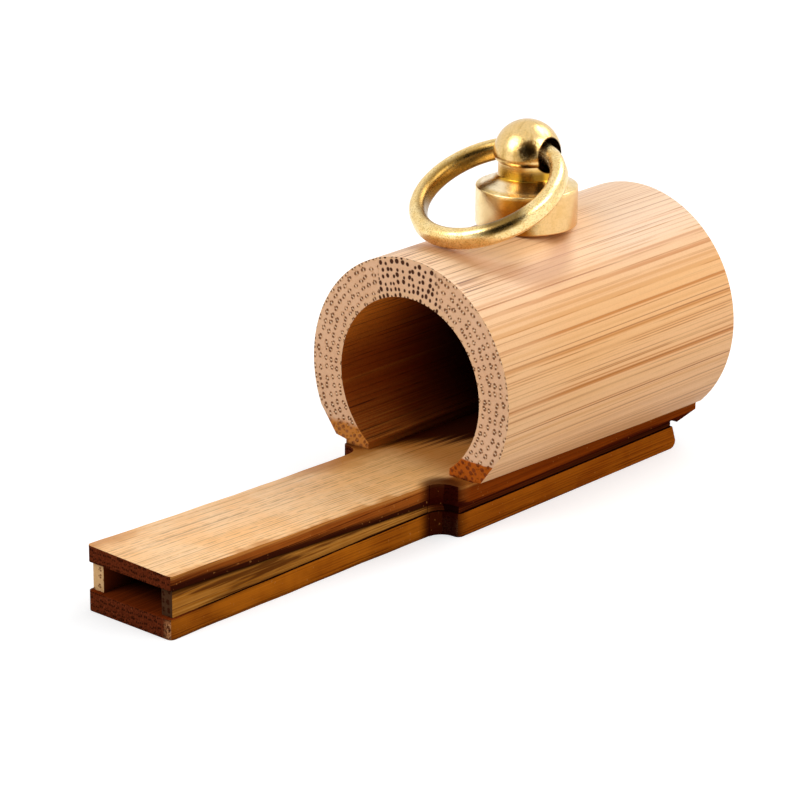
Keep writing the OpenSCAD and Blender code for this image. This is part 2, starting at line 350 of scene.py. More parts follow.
# %% Group: bundle pores
def build_pores():
    g = Group("bundle pores", {"Along": 0.0, "Across": 0.0, "Spacing": 1.3, "Rows": 0.7, "Size": 0.1,
                               "Spread": 0.33, "Jitter": 0.5}, ["Pores", "Centre", "Sheath"])
    spacing, rows, spread = g.given["Spacing"], g.given["Rows"], g.given["Spread"]
    place = g.vector(g.over(g.given["Along"], spacing), g.over(g.given["Across"], rows))
    cells = g.add("ShaderNodeTexVoronoi", {"voronoi_dimensions": "2D", "feature": "F1"}, Vector=place,
                  Scale=1.0, Randomness=g.given["Jitter"])
    step = g.add("ShaderNodeVectorMath", {"operation": "SUBTRACT"}, i0=place,
                 i1=cells.outputs["Position"])
    step = g.split(step.outputs[0])
    chance = g.add("ShaderNodeSeparateColor", i0=cells.outputs["Color"]).outputs
    turned = g.add("ShaderNodeVectorRotate", {"rotation_type": "Z_AXIS"},
                   Vector=g.vector(g.times(step[0], spacing), g.times(step[1], rows)),
                   Angle=g.times(g.minus(chance[0], 0.5), 0.9))
    x, y = g.split(turned.outputs[0])[:2]

    def dot(dx, dy, size):
        return g.fades(g.minus(g.reach(dx, dy), size), -0.05, 0.05)

    size = g.times(g.given["Size"], g.between(chance[1], 0.0, 1.0, 0.75, 1.2))
    pair = dot(g.minus(g.size(x), spread), g.times(y, 0.85), size)
    small = g.times(size, g.between(chance[2], 0.3, 0.6, 0.0, 0.7))
    third = g.times(dot(x, g.minus(y, 0.2), small), g.between(spread, 0.0, 0.1))
    return g.give(Pores=g.most(pair, third), Centre=dot(x, g.times(y, 0.6), 0.06),
                  Sheath=g.fades(g.reach(x, y), 0.2, 0.36))


PORES = build_pores()

# %% [markdown]
# ## Handling dirt
# Sawn and sanded bamboo is never one even tone. This group gives a cloudy tone, fine
# dust and a scatter of tiny specks, and every wooden finish mixes it in its own way.

# %% Group: handling dirt
def build_dirt():
    g = Group("handling dirt", {"Place": None}, ["Clouds", "Dust", "Specks"])
    place = g.given["Place"]
    return g.give(Clouds=g.between(g.noise(place, 0.16, 3.0, 0.6), 0.32, 0.68),
                  Dust=g.noise(place, 5.0, 4.0, 0.75),
                  Specks=g.between(g.noise(place, 2.6, 1.0, 0.5), 0.7, 0.76))


DIRT = build_dirt()

# %% [markdown]
# ## Where a finish is
# Most finishes ask the same questions: how far round the tube, how far along the stem,
# how far from its side, and how near the dark corner where stem and base meet. Each
# answer is a distance in millimetres, or a share from 0 to 1.

# %% Helpers for places on the call
def round_tube(f, height, radius):
    """Length round a circle whose middle is at height, and the radius of the place."""
    up = f.minus(f.z, height)
    return f.times(f.maths("ARCTAN2", f.y, up), radius), f.reach(f.y, up)


def ring_reach(f):
    """Distance in plan from the middle of the ring as it lies."""
    return f.apart(f.x, f.y, RING_X, RING_Y)


def base_start(f):
    """Where the base begins: its right half reaches further in front of the tube."""
    return f.between(f.y, -0.5, 0.5, FRONT_X - 2.0, FRONT_X - 0.6)


def corner_stain_and_shade(f):
    """How near a place is to the upright inside corners of stem and base, where stain and painted shade
    darken it.
    """
    start = f.minus(base_start(f), 0.5)
    reach = f.apart(f.minus(f.x, start), f.size(f.y), 0.0, 6.7)
    return f.times(f.fades(reach, 1.3, 2.9), f.between(f.y, -1.0, 1.0, 1.0, 0.3))


def stem_share(f):
    """0 at the mouth and 1 at the tube's front."""
    return f.over(f.minus(f.x, MOUTH_X), STEM_L)


def edge_distance(f):
    """Distance from the side edge of the stem, as if it ran on."""
    half = f.plus(f.times(stem_share(f), (JUNCTION_W - MOUTH_W) / 2), MOUTH_W / 2)
    return f.minus(half, f.size(f.y))


# %% [markdown]
# ## Finish of the tube's outside
# The culm's skin is shaved off, so the outside shows pale peach wood with thin brown
# lines and broader amber bands that run its whole length. A polish worked in by rubbing
# gives it a soft sheen. The crown is paler, partly as painted sheen, and it carries a
# painted warm reflection under the brass and a painted shadow along the ring.

# %% Material: shaved culm
def shaved_culm():
    f = Finish("shaved_culm", Roughness=0.42, Specular_IOR_Level=0.35)
    x, y, z = f.locate()
    length = round_tube(f, TUBE_Z, TUBE_R)[0]
    fibres = f.use(FIBRES, Across=length, Along=x, Thin=1.0, Fade=0.02)
    fine = f.use(FIBRES, Across=f.plus(length, 40.0), Along=x, Thin=2.0, Fade=0.08)
    dirt = f.use(DIRT, Place=f.place)
    # The crown is paler and pinker than the flanks: partly the wood's tone, partly painted sheen.
    flank = f.between(f.size(length), 5.0, 14.0)
    f.base = f.blend(flank, (0.93, 0.66, 0.44), (0.93, 0.51, 0.215))
    f.coat(fibres["Broad"], f.blend(flank, (0.92, 0.60, 0.36), (0.91, 0.52, 0.25)), 0.55)
    f.coat(fibres["Streaks"], (0.95, 0.58, 0.30), 0.3)
    f.coat(f.times(fibres["Bands"], f.ramp(flank, 0.5, 0.9)), (0.60, 0.20, 0.035))
    f.coat(f.behind(2, 12, 0.4, 0.0), (0.96, 0.60, 0.33))
    # Painted warm reflection of the brass on the crown round the stud.
    brass_reflection_reach = f.apart(x, y, STUD_X - 2, 0.0)
    f.coat(f.between(brass_reflection_reach, 6.0, 13.0, 0.6, 0.0), (0.90, 0.50, 0.20))
    f.coat(fine["Lines"], (0.52, 0.175, 0.03), 0.85)
    f.coat(f.times(fine["Bands"], f.times(flank, 0.45)), (0.70, 0.29, 0.065))
    f.coat(fibres["Lines"], (0.42, 0.125, 0.02), 0.9)
    f.coat(f.between(dirt["Dust"], 0.35, 0.7), (0.60, 0.31, 0.13), 0.15)
    front = f.within(x, FRONT_X + 0.1, FRONT_X + 0.6, FRONT_X + 1.5, FRONT_X + 5)
    front = f.times(front, f.fades(flank, 0.0, 0.5))
    f.coat(f.times(fine["Bands"], f.times(front, 0.8)), (0.33, 0.10, 0.018))
    f.coat(f.times(fine["Lines"], front), (0.16, 0.045, 0.008))
    # Painted contact shadow along the ring where it lies on the tube.
    ring_shadow_reach = f.size(f.minus(ring_reach(f), RING_R))
    f.coat(f.between(ring_shadow_reach, 0.3, 2.0, 0.55, 0.0), (0.44, 0.15, 0.025))
    foot = f.fades(z, BOARDS_H + 0.2, BOARDS_H + 2.2)
    f.coat(foot, (0.60, 0.27, 0.09), 0.3)
    f.feed("Roughness", f.between(dirt["Dust"], 0.2, 0.8, 0.36, 0.52))
    f.feed("Specular IOR Level", f.ramp(flank, 0.6, 0.14))
    return f.done(f.plus(fibres["Relief"], f.times(dirt["Dust"], 0.5)), 0.05, 0.5)


# %% [markdown]
# ## Finish of the tube's sawn ends
# The end grain is a greyer tan full of pores. Over the crown the wood took no polish,
# so the pores run into large dark ones there. The feet are soaked amber by glue and
# stain, and a dark line stands right above the boards.

# %% Material: sawn culm end
def sawn_end():
    f = Finish("sawn_culm_end", Roughness=0.75, Specular_IOR_Level=0.05)
    f.locate()
    y, z = f.y, f.z
    length, reach = round_tube(f, TUBE_Z, WALL_R)
    dirt = f.use(DIRT, Place=f.place)
    inwards = f.times(f.minus(12.6, reach), 0.26)
    crown = f.between(f.plus(y, inwards), -3.7, -3.0)
    crown = f.times(crown, f.fades(y, 4.0, 4.3))
    crown = f.times(crown, f.between(z, TUBE_Z, TUBE_Z + 3))
    pores = f.use(PORES, Along=length, Across=reach, Spacing=0.98, Rows=0.8, Size=0.115, Spread=0.2,
                  Jitter=0.42)
    filled = f.use(PORES, Along=length, Across=reach, Spacing=0.7, Rows=0.68, Size=0.19, Spread=0.0,
                   Jitter=0.5)
    f.base = f.blend(dirt["Clouds"], (0.77, 0.43, 0.24), (0.83, 0.495, 0.30))
    f.coat(f.times(pores["Sheath"], f.ramp(crown, 0.7, 0.0)), (0.55, 0.25, 0.095))
    f.coat(f.between(dirt["Dust"], 0.3, 0.7), (0.93, 0.63, 0.41), 0.4)
    rims = f.most(f.fades(reach, 9.35, 9.7), f.between(reach, 12.6, 12.9))
    f.coat(rims, (0.88, 0.55, 0.30), 0.4)
    f.coat(f.times(pores["Centre"], f.ramp(crown, 0.85, 0.0)), (1.0, 0.80, 0.58))
    holes = f.blend(crown, pores["Pores"], filled["Pores"])
    dark = f.blend(crown, (0.15, 0.042, 0.009), (0.05, 0.010, 0.003))
    f.coat(f.times(holes, f.ramp(crown, 0.85, 0.97)), dark)
    right = f.fades(y, -2.0, 2.0)
    edge = f.sway(z, dirt["Clouds"], 0.5)
    soaked = f.fades(edge, f.ramp(right, 7.2, 7.55), f.ramp(right, 7.9, 7.75))
    amber = f.blend(right, (0.60, 0.20, 0.022), (0.48, 0.098, 0.003))
    amber = f.blend(f.times(filled["Pores"], 0.8), amber,
                    f.blend(right, (0.26, 0.07, 0.012), (0.17, 0.026, 0.003)))
    soaked = f.times(soaked, f.behind(10, 20, 1.0, 0.45))
    f.coat(f.times(soaked, f.ramp(right, 0.93, 0.98)), amber)
    f.coat(f.between(z, BOARDS_H - 0.1, BOARDS_H + 0.3, 0.8, 0.0), (0.06, 0.010, 0.003))
    relief = f.minus(f.times(dirt["Dust"], 0.3), holes)
    return f.done(relief, 0.12, 0.7)


# %% [markdown]
# ## Finish of the disc
# The photograph doesn't show the disc. It is taken as a slice of another culm's wall,
# so its bundles don't run round the bore. It takes the same pores straight across,
# sparser and less even, on a browner tan.

# %% Material: sawn slice
def sawn_slice():
    f = Finish("sawn_slice", Roughness=0.75, Specular_IOR_Level=0.05)
    f.locate()
    y, z = f.y, f.z
    dirt = f.use(DIRT, Place=f.place)
    pores = f.use(PORES, Along=y, Across=z, Spacing=1.3, Rows=1.1, Size=0.12, Spread=0.2, Jitter=0.8)
    f.base = f.blend(dirt["Clouds"], (0.66, 0.35, 0.17), (0.78, 0.45, 0.25))
    f.coat(pores["Sheath"], (0.50, 0.22, 0.08), 0.7)
    f.coat(pores["Pores"], (0.14, 0.04, 0.009), 0.85)
    f.coat(f.between(dirt["Dust"], 0.4, 0.7), (0.50, 0.25, 0.10), 0.3)
    return f.done(f.minus(f.times(dirt["Dust"], 0.3), pores["Pores"]), 0.12, 0.7)


# %% [markdown]
# ## Finish inside the bore
# The bore keeps its inner skin, streaked along the grain. Near the mouth its roof is
# golden with painted light, low down it is browner, and it blackens with depth.

# %% Material: inner skin
def inner_skin():
    f = Finish("inner_skin", Roughness=0.55, Specular_IOR_Level=0.08)
    f.locate()
    x, z = f.x, f.z
    length = round_tube(f, BORE_Z, BORE_R)[0]
    fibres = f.use(FIBRES, Across=length, Along=x, Thin=1.8, Fade=0.16)
    dirt = f.use(DIRT, Place=f.place)
    near = f.behind(0, 15, 1.0, 0.0)
    depth = f.behind(5, 19)
    low = f.fades(z, 6.0, 10.5)
    high = f.between(z, 13.0, 20.0)
    f.base = f.blend(near, (0.27, 0.034, 0.004), (0.35, 0.066, 0.006))
    # Painted light: golden on the bore's roof near the mouth, where light falls in.
    f.coat(f.times(high, near), (0.88, 0.29, 0.03))
    f.coat(fibres["Streaks"], (0.40, 0.11, 0.013), 0.5)
    f.coat(fibres["Bands"], (0.48, 0.15, 0.02), 0.6)
    f.coat(f.times(low, f.behind(3, 9, 0.3, 0.8)), (0.10, 0.008, 0.001))
    f.coat(f.times(low, f.times(fibres["Streaks"], f.behind(3, 9, 0.85, 0.3))), (0.56, 0.20, 0.03))
    f.coat(fibres["Lines"], (0.03, 0.004, 0.001), 0.85)
    f.coat(f.between(dirt["Dust"], 0.4, 0.7), (0.10, 0.018, 0.003), 0.3)
    # The bore turns near black with depth.
    f.coat(depth, (0.022, 0.0012, 0.0006), 0.95)
    rim = f.fades(z, BOARDS_H + 0.1, BOARDS_H + 0.9)
    rim = f.times(rim, f.behind(1.5, 4.5, 1.0, 0.0))
    f.coat(rim, (0.50, 0.17, 0.02), 0.9)
    return f.done(fibres["Relief"], 0.08, 0.7)


# %% [markdown]
# ## Finish of the boards' tops
# The boards are cut from the same bamboo and stained. Sanding took the stain off the
# middle of the top, so it is golden there and the edges stay amber. Towards the tube it
# turns orange, brightened with painted light where the tube shades it, and what lies
# inside the tube's mouth is black with painted shadow.

# %% Material: sanded board top
def sanded_top():
    f = Finish("sanded_board_top", Roughness=0.42, Specular_IOR_Level=0.35)
    f.locate()
    x, y = f.x, f.y
    fibres = f.use(FIBRES, Across=y, Along=x, Thin=1.9, Fade=0.22)
    flecks = f.use(FIBRES, Across=f.plus(y, 60.0), Along=x, Thin=2.6, Fade=0.7)
    dirt = f.use(DIRT, Place=f.place)
    f.base = f.blend(dirt["Clouds"], (0.95, 0.51, 0.195), (0.97, 0.64, 0.35))
    f.coat(fibres["Broad"], (0.98, 0.66, 0.37), 0.4)
    f.coat(fibres["Streaks"], (0.90, 0.48, 0.16), 0.5)
    f.coat(fibres["Bands"], (0.78, 0.36, 0.085), 0.45)
    f.coat(flecks["Lines"], (0.40, 0.18, 0.055), 0.7)
    f.coat(fibres["Lines"], (0.34, 0.135, 0.035), 0.75)
    inside = edge_distance(f)
    uneven = f.sway(inside, fibres["Streaks"], 0.6)
    uneven = f.sway(uneven, dirt["Clouds"], 1.2)
    left = f.between(y, -1.0, 1.0)
    ends = f.most(f.between(x, MOUTH_X + 2, MOUTH_X + 9, 0.75, 0.0), f.behind(-15, -7, 0.0, 0.9))
    width = f.ramp(left, 0.8, f.behind(-12, -3, 2.2, 4.2))
    rim = f.minus(1.0, f.between(f.over(uneven, width), 0.0, 1.0))
    rim = f.times(rim, f.ramp(left, 0.7, ends))
    near = f.behind(-15, 1)
    f.coat(f.times(near, f.times(fibres["Bands"], 0.8)), (0.42, 0.15, 0.025))
    f.coat(f.times(near, f.times(flecks["Lines"], 0.6)), (0.24, 0.08, 0.012))
    # Painted light: the top near the tube is brightened against the tube's shadow.
    f.coat(near, (1.0, 0.54, 0.17), 0.5)
    f.coat(rim, (0.52, 0.19, 0.025))
    wing = f.times(f.between(f.size(y), 5.2, 6.6), f.between(f.minus(x, base_start(f)), -0.8, 0.5))
    f.coat(wing, f.blend(fibres["Streaks"], (0.20, 0.055, 0.006), (0.42, 0.135, 0.015)), 0.93)
    # Painted shadow: past a slanting line the top inside the tube's mouth goes black.
    mouth = f.minus(x, f.minus(FRONT_X + 11.3, f.times(y, 1.35)))
    f.coat(f.behind(-1, 4, 0.0, 0.72), (0.60, 0.20, 0.017))
    f.coat(f.times(f.behind(0, 3), f.times(fibres["Bands"], 0.8)), (0.20, 0.06, 0.006))
    mouth = f.sway(mouth, fibres["Streaks"], 4.0)
    f.coat(f.between(mouth, -4.5, 1.0, 0.0, 0.97), (0.030, 0.001, 0.0005))
    # Stain and painted shade in the inside corners.
    f.coat(corner_stain_and_shade(f), (0.05, 0.008, 0.002), 0.85)
    f.feed("Roughness", f.between(dirt["Dust"], 0.2, 0.8, 0.36, 0.54))
    f.feed("Specular IOR Level", f.behind(-16, 3, 0.3, 0.03))
    return f.done(fibres["Relief"], 0.05, 0.5)


# %% [markdown]
# ## Finish of the boards' sides
# The sides kept all their stain: orange brown with darker lines. The upper board's lower
# half is nearly black, stain with a painted shadow under its overhang, the inside
# corners of the plan are dark with stain and painted shade, and a painted highlight
# runs pale along the top edge. One function makes both boards' sides, told how high the
# dark rim starts at the mouth and at the tube.

# %% Material: stained side
def stained_side(name, light, dark, mouth_rim, front_rim, depth, shade):
    f = Finish(name, Roughness=0.4, Specular_IOR_Level=0.0)
    x, y, z = f.locate()
    fibres = f.use(FIBRES, Across=f.plus(z, f.times(y, 0.3)), Along=x, Thin=2.4, Fade=0.12)
    dirt = f.use(DIRT, Place=f.place)
    f.base = f.blend(dirt["Clouds"], dark, light)
    f.coat(fibres["Streaks"], tuple(min(1.0, c * 1.5) for c in light), 0.55)
    f.coat(fibres["Lines"], (0.07, 0.011, 0.002), 0.85)
    f.coat(fibres["Bands"], (0.17, 0.033, 0.003), 0.45)
    share = f.least(stem_share(f), 1.0)
    rim = f.plus(f.times(share, front_rim - mouth_rim), mouth_rim)
    above = f.minus(z, rim)
    above = f.sway(above, fibres["Streaks"], 0.35)
    at_base = f.behind(-2, 0)
    f.coat(at_base, f.blend(fibres["Streaks"], (0.13, 0.017, 0.001), (0.24, 0.04, 0.002)), 0.85 * shade)
    f.coat(f.fades(share, 0.0, 0.35), (0.075, 0.012, 0.003), 0.6 * shade)
    # Dark band above the rim: stain with painted shadow under the upper board, and a darker bottom edge
    # on the lower board.
    deep = f.blend(at_base, (0.028, 0.004, 0.002), (0.055, 0.006, 0.002))
    reach = f.ramp(at_base, depth, depth * 0.4)
    f.coat(f.fades(above, f.times(reach, 0.35), reach), deep, shade)
    # Painted highlight, pale along the board's top edge.
    painted_edge_highlight = f.minus(f.plus(z, f.times(f.minus(x, FRONT_X), math.tan(SLOPE))), BOARDS_H)
    painted_edge_highlight = f.times(f.between(painted_edge_highlight, -0.5, -0.15), f.between(fibres["Streaks"], 0.2, 0.7, 0.3, 0.7))
    f.coat(painted_edge_highlight, (0.66, 0.27, 0.06))
    # Stain and painted shade in the inside corners.
    f.coat(corner_stain_and_shade(f), (0.030, 0.002, 0.0010), 0.95)
    f.coat(dirt["Specks"], (0.50, 0.20, 0.05), 0.4)
    return f.done(fibres["Relief"], 0.07, 0.6)


# %% [markdown]
# ## Finish of the boards' mouth ends
# End grain drinks stain, so the mouth end is a dark maroon brown with paler specks.

# %% Material: stained end grain
def stained_end():
    f = Finish("stained_end_grain", Roughness=0.65, Specular_IOR_Level=0.0)
    f.locate()
    y, z = f.y, f.z
    pores = f.use(PORES, Along=y, Across=z, Size=0.09, Spread=0.12, Spacing=0.6, Rows=0.6)
    dirt = f.use(DIRT, Place=f.place)
    f.base = f.blend(f.between(dirt["Dust"], 0.25, 0.75), (0.05, 0.007, 0.0025), (0.18, 0.034, 0.010))
    f.coat(pores["Sheath"], (0.15, 0.032, 0.010), 0.3)
    f.coat(pores["Pores"], (0.022, 0.003, 0.0015), 0.8)
    f.coat(f.between(dirt["Dust"], 0.62, 0.72), (0.36, 0.15, 0.08), 0.45)
    worn = f.sway(y, dirt["Dust"], 1.6)
    worn = f.times(f.fades(worn, -5.1, -4.3), f.fades(z, 1.2, 2.4))
    worn = f.times(worn, f.between(dirt["Dust"], 0.42, 0.56))
    f.coat(worn, (0.62, 0.29, 0.12), 0.8)
    # Stain and painted shade in the inside corners.
    f.coat(corner_stain_and_shade(f), (0.022, 0.0015, 0.0008), 0.96)
    return f.done(f.minus(dirt["Dust"], pores["Pores"]), 0.1, 0.9)


# %% [markdown]
# ## Finish inside the windway
# The faces towards the windway were stained before the boards were glued, and they
# turn darker a few millimetres in.

# %% Material: windway skin
def windway_skin():
    f = Finish("windway_skin", Roughness=0.5, Specular_IOR_Level=0.0)
    f.locate()
    x, y = f.x, f.y
    fibres = f.use(FIBRES, Across=y, Along=x, Thin=2.0, Fade=0.2)
    f.base = f.blend(fibres["Streaks"], (0.10, 0.012, 0.002), (0.20, 0.034, 0.005))
    f.coat(fibres["Lines"], (0.04, 0.006, 0.002), 0.7)
    depth = f.between(x, MOUTH_X, MOUTH_X + 6)
    f.coat(depth, (0.008, 0.001, 0.0005), 0.95)
    return f.done(fibres["Relief"], 0.06, 0.6)


# %% [markdown]
# ## Finish of the spacer strips
# The strips were slipped in after the boards were stained, so their sides are golden
# with brown smears of glue and stain, and a painted shadow makes them black right under
# the upper board. Towards the tube they lie deep in a groove, painted black with its
# shade. Of their ends the left one is pale with a few dark bundles, and the right one
# is dark.

# %% Material: bare strip side
def bare_strip():
    f = Finish("bare_strip", Roughness=0.5, Specular_IOR_Level=0.0)
    f.locate()
    x, z = f.x, f.z
    fibres = f.use(FIBRES, Across=z, Along=x, Thin=2.6, Fade=0.15)
    dirt = f.use(DIRT, Place=f.place)
    smear = f.noise(f.place_mm(scale=(0.07, 0.5, 1.3), shift=(4.0, 0.0, 0.0)), 1.0, 3.0, 0.65)
    f.base = f.blend(fibres["Streaks"], (0.38, 0.125, 0.010), (0.62, 0.27, 0.05))
    f.coat(dirt["Clouds"], (0.28, 0.085, 0.008), 0.35)
    f.coat(f.between(smear, 0.5, 0.64), (0.09, 0.020, 0.003), 0.85)
    f.coat(fibres["Lines"], (0.10, 0.02, 0.004), 0.8)
    share = f.least(stem_share(f), 1.0)
    top = f.plus(f.times(share, SEAM_FRONT - SEAM_MOUTH), SEAM_MOUTH)
    under = f.minus(top, z)
    # Painted shadow: black right under the upper board's overhang.
    f.coat(f.between(under, 0.15, f.between(share, 0.0, 0.5, 0.85, 0.5), 0.97, 0.0),
           (0.015, 0.002, 0.001))
    # Painted shade: black deep in the groove towards the tube.
    groove = f.blend(fibres["Streaks"], (0.02, 0.002, 0.001), (0.10, 0.014, 0.003))
    f.coat(f.behind(-5.5, -2.5, 0.0, 0.97), groove)
    return f.done(fibres["Relief"], 0.07, 0.7)


# %% Material: strip end
def pale_strip_end():
    f = Finish("pale_strip_end", Roughness=0.7, Specular_IOR_Level=0.0)
    f.locate()
    y, z = f.y, f.z
    pores = f.use(PORES, Along=z, Across=y, Size=0.13, Spread=0.12, Spacing=0.85, Rows=0.85)
    f.base = f.blend(f.noise(f.place, 3.0, 3.0), (0.56, 0.29, 0.10), (0.80, 0.53, 0.28))
    f.coat(pores["Pores"], (0.14, 0.035, 0.008), 0.85)
    # The right strip's end is dark.
    right = f.between(y, -1.0, 1.0, 0.94, 0.0)
    f.coat(right, (0.028, 0.004, 0.0015))
    # Painted shade: black where the strip ends in the groove near the tube.
    f.coat(f.behind(-6.0, -4.0, 0.0, 0.97), (0.012, 0.0015, 0.001))
    return f.done(pores["Pores"], 0.05, 0.6)


# %% [markdown]
# ## Brass
# Turned brass mirrors its surroundings, so it needs little colour of its own. Fine
# turning lines and dull patches break up the mirror. Each piece then gets its own
# marks: a function lays them over the metal, coat by coat, tarnish together with
# painted reflections, painted highlights and painted shade.

# %% Material: turned brass
def brass(name, roughness, lines, bright, dull_tone, tarnish_and_reflections):
    f = Finish(name, Metallic=1.0, Roughness=roughness)
    f.locate()
    dull = f.noise(f.place, 0.9, 4.0, 0.6)
    grain = f.noise(f.place, 7.0, 3.0, 0.7)
    f.base = f.blend(f.between(dull, 0.35, 0.7), bright, dull_tone)
    f.coat(f.between(grain, 0.48, 0.64), (0.48, 0.28, 0.06), 0.75)
    tarnish_and_reflections(f)
    f.feed("Roughness", f.between(dull, 0.3, 0.7, roughness - 0.04, roughness + 0.06))
    turned = f.noise(f.place_mm(scale=(0.3, 0.3, lines)), 1.0, 3.0, 0.7)
    return f.done(f.plus(f.times(turned, 0.6), grain), 0.03, 0.45)


# %% [markdown]
# ## Painted reflections and tarnish on the stud
# The stud's wall has a painted dark reflection where it faces the mouth, a painted dull
# reflection on the right and a painted highlight on the left. The cone above it has one
# painted dark reflection and a painted sheen on its left side, and the neck is a deep
# brownish yellow with painted shade under the head. The head is duller than the wall,
# with dark rays, a painted dark reflection where it faces the camera, towards the mouth's
# right, and a brown lining in its hole. Most masks are a band of height times a bearing.

# %% Tarnish of the stud
TOWARDS_CAMERA = Vector((-0.706, -0.623, 0.336))


def facing(f, way, low, high):
    """Where the stud's surface faces a direction in plan, soft between two cosines."""
    x = f.minus(f.x, STUD_X)
    reach = f.plus(f.reach(x, f.y), 0.01)
    turn = f.plus(f.times(x, way[0]), f.times(f.y, way[1]))
    return f.between(f.over(turn, reach), low, high)


def stud_tarnish_and_reflections(f):
    z = f.z
    # Painted shade: the neck under the head is a deep brownish yellow.
    neck = f.within(z, RIM_Z + 0.5, RIM_Z + 1.0, HOLE_Z - 1.5, HOLE_Z - 1.0)
    f.coat(neck, (0.60, 0.31, 0.02), 0.97)
    wall = f.fades(z, RIM_Z - 0.5, RIM_Z - 0.1)
    # Painted reflections on the wall: dark towards the mouth, dull on the right, a highlight on the
    # left.
    f.coat(f.times(wall, facing(f, (-0.961, -0.264), 0.72, 0.93)), (0.40, 0.16, 0.006), 0.92)
    f.coat(f.times(wall, facing(f, (-0.1, -0.995), 0.7, 0.95)), (0.72, 0.41, 0.16), 0.75)
    f.coat(f.times(wall, facing(f, (-0.95, 0.31), 0.82, 0.97)), (1.0, 0.80, 0.46), 0.45)
    # Painted sheen on the cone's left side.
    sheen = f.within(z, RIM_Z + 0.1, RIM_Z + 0.3, RIM_Z + 0.7, RIM_Z + 0.95)
    f.coat(f.times(sheen, facing(f, (-0.95, 0.3), 0.5, 0.9)), (1.0, 0.84, 0.56), 0.9)
    # Painted dark reflection: one spot on the cone.
    cone = f.within(z, RIM_Z + 0.1, RIM_Z + 0.3, RIM_Z + 1.9, RIM_Z + 2.2)
    f.coat(f.times(cone, facing(f, (-0.64, -0.77), 0.86, 0.95)), (0.16, 0.075, 0.01), 0.85)
    head = f.between(z, HOLE_Z - 2, HOLE_Z - 1)
    f.coat(head, (0.80, 0.52, 0.20), 0.55)
    bearing = f.maths("ARCTAN2", f.y, f.minus(f.x, STUD_X))
    rays = f.noise(f.vector(f.times(bearing, 2.2), f.times(z, 0.16), 2.0), 1.0, 3.0, 0.6)
    rays = f.times(f.between(rays, 0.5, 0.66), f.between(z, HOLE_Z - 2, HOLE_Z))
    f.coat(rays, (0.44, 0.25, 0.05), 0.7)
    # Painted dark reflection where the head faces the camera.
    camera_reflection = f.along(f.place, TOWARDS_CAMERA, Vector((STUD_X, 0, HEAD_MID)))
    camera_reflection = f.sway(camera_reflection, f.noise(f.place, 3.0, 3.0), 0.5)
    camera_reflection = f.times(f.between(camera_reflection, HEAD_R * 0.93, HEAD_R * 0.995), head)
    f.coat(camera_reflection, (0.20, 0.09, 0.012), 0.9)
    lining = f.fades(f.apart(f.x, z, STUD_X, HOLE_Z), HOLE_R + 0.03, HOLE_R + 0.12)
    f.coat(lining, (0.10, 0.035, 0.006), 0.93)


# %% [markdown]
# ## Painted reflections on the ring
# The wire is brown inside its left half, a painted dark reflection. Another painted dark
# reflection lies on the wire's upper shoulder at its front right, and height over the
# ring's own plane keeps it off the lower half of the wire.

# %% Tarnish of the ring
RING_AXIS = Vector((-0.434, 0.055, 0.899))


def ring_painted_reflections(f):
    inner = f.add("ShaderNodeAttribute", {"attribute_name": "inner"}).outputs["Fac"]
    # Painted dark reflection inside the wire's left half.
    f.coat(f.times(inner, f.between(f.y, 0.0, 4.0)), (0.22, 0.11, 0.012), 0.9)
    # Painted dark reflection on the wire's upper shoulder at its front right.
    raised = f.along(f.place, RING_AXIS, Vector((RING_X, RING_Y, HOLE_Z - 3.05)))
    patch = f.fades(f.apart(f.x, f.y, STUD_X - 10.7, -5.8), 1.3, 2.8)
    f.coat(f.times(patch, f.between(raised, 0.1, 0.5)), (0.16, 0.08, 0.01), 0.9)


# %% [markdown]
# ## All finishes
# The upper board's side is darkest at the seam over the strips, stain with painted
# shadow, and the lower board's side darkens along its bottom edge, so the two sides
# differ in their heights as well as tones.

# %% Build the wooden and brass finishes
CULM, CULM_END, SLICE, BORE = shaved_culm(), sawn_end(), sawn_slice(), inner_skin()
TOP, END, WINDWAY = sanded_top(), stained_end(), windway_skin()
ROOF_SIDE = stained_side("stained_upper_side", (0.31, 0.078, 0.010), (0.19, 0.038, 0.005),
                         SEAM_MOUTH, SEAM_FRONT, 0.85, 0.95)
FLOOR_SIDE = stained_side("stained_lower_side", (0.40, 0.112, 0.006), (0.22, 0.048, 0.003),
                          0.0, 0.0, 0.35, 0.5)
STRIP, STRIP_END = bare_strip(), pale_strip_end()
BRASS_STUD = brass("turned_brass", 0.19, 12.0, (0.95, 0.73, 0.37), (0.87, 0.60, 0.22), stud_tarnish_and_reflections)
BRASS_RING = brass("drawn_brass", 0.25, 0.3, (0.99, 0.76, 0.37), (0.93, 0.65, 0.25), ring_painted_reflections)
print("finishes:", ", ".join(m.name for m in bpy.data.materials))

# %% [markdown]
# ## Drilling and sawing
# A few shapes are cut out of others: the gap between the tube's feet, the screw's hole,
# the ring's hole. A Boolean modifier does it, is applied at once, and its cutter is
# thrown away.

# %% Cut one bmesh out of another
def loose_object(name, bm):
    mesh = bpy.data.meshes.new(name)
    bm.to_mesh(mesh)
    bm.free()
    thing = bpy.data.objects.new(name, mesh)
    bpy.context.scene.collection.objects.link(thing)
    return thing


def cut_out(bm, tool):
    piece, cutter = loose_object("blank", bm), loose_object("cutter", tool)
    saw = piece.modifiers.new("saw", "BOOLEAN")
    saw.operation, saw.object, saw.solver = "DIFFERENCE", cutter, "EXACT"
    left = bpy.data.meshes.new_from_object(piece.evaluated_get(bpy.context.evaluated_depsgraph_get()))
    result = bmesh.new()
    result.from_mesh(left)
    for thing in (cutter, piece):
        bpy.data.objects.remove(thing)
    bmesh.ops.remove_doubles(result, verts=result.verts, dist=1e-7)
    bmesh.ops.dissolve_limit(result, angle_limit=math.radians(0.2), verts=result.verts,
                             edges=result.edges)
    return result


